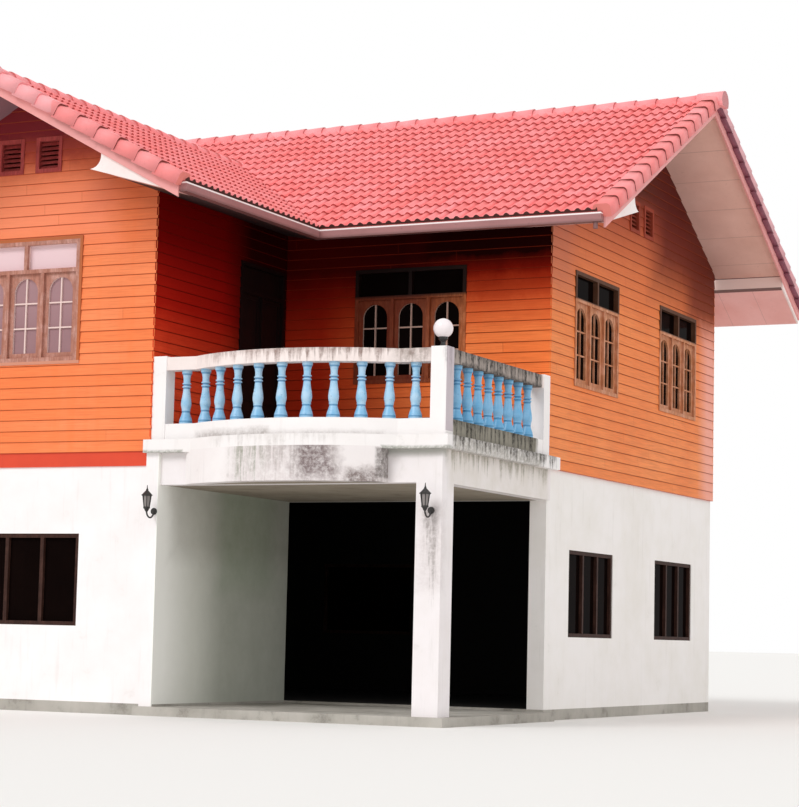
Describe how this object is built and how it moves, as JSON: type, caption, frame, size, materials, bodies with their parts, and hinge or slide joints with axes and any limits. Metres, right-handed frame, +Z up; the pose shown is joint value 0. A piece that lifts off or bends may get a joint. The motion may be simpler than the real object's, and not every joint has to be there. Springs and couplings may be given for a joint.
{
  "type": "two-storey house",
  "caption": "Two-storey house of lapped boards over rendered masonry, with a tiled L-shaped gable roof and a bowed balcony with turned balusters over a porch.",
  "frame": {"origin": "on the underside of the ground slab, at the middle of the walls' plan", "axes": "+X to the right seen from the front, +Y to the back, +Z up"},
  "size_m": [11.17, 13.445, 9.5901],
  "materials": {
    "orange_boards": "matt",
    "white_render": "matt",
    "grey_render": "matt",
    "concrete": "matt",
    "plank_floor": "satin",
    "worn_frame": "matt",
    "brown_frame": "satin",
    "window_glass": "glossy",
    "red_tiles": "matt",
    "red_caps": "matt",
    "pink_board": "matt",
    "white_board": "matt",
    "pale_gutter": "satin",
    "blue_balusters": "satin",
    "lamp_globe": "satin",
    "black_iron": "satin"
  },
  "bodies": {
    "root": {"ground_slab": "concrete", "ground_front_wall": "white_render", "porch_side_wall": "grey_render", "porch_lintel": "white_render", "porch_pier": "white_render", "ground_right_wall": "white_render", "ground_back_wall": "white_render", "ground_left_wall": "white_render", "upper_floor": "plank_floor", "front_gable_wall": "orange_boards", "balcony_side_wall": "orange_boards", "balcony_back_wall": "orange_boards", "right_gable_wall": "orange_boards", "back_wall": "orange_boards", "left_gable_wall": "orange_boards", "ground_window_frames": "brown_frame", "ground_window_glass": "window_glass", "front_window": "worn_frame", "balcony_window": "brown_frame", "right_windows": "brown_frame", "back_windows": "brown_frame", "left_windows": "brown_frame", "upper_window_glass": "window_glass", "balcony_door": "brown_frame", "gable_vents": "worn_frame", "porch_column": "white_render", "porch_beams": "white_render", "bow_beam": "white_render", "porch_ceiling": "white_render", "balcony_slab": "white_render", "balcony_curb": "white_render", "balcony_posts": "white_render", "balcony_handrail": "white_render", "front_balusters": "blue_balusters", "side_balusters": "blue_balusters", "main_roof_front": "red_tiles", "main_roof_back": "red_tiles", "wing_roof_left": "red_tiles", "wing_roof_right": "red_tiles", "ridge_caps": "red_caps", "verge_caps": "red_caps", "barge_boards": "pink_board", "gable_soffits": "pink_board", "front_eave_boxes": "pink_board", "back_eave_boxes": "pink_board", "eave_end_boards": "white_board", "gutters": "pale_gutter", "globe_lamp": "lamp_globe", "wall_lanterns": "black_iron"}
  },
  "joints": []
}
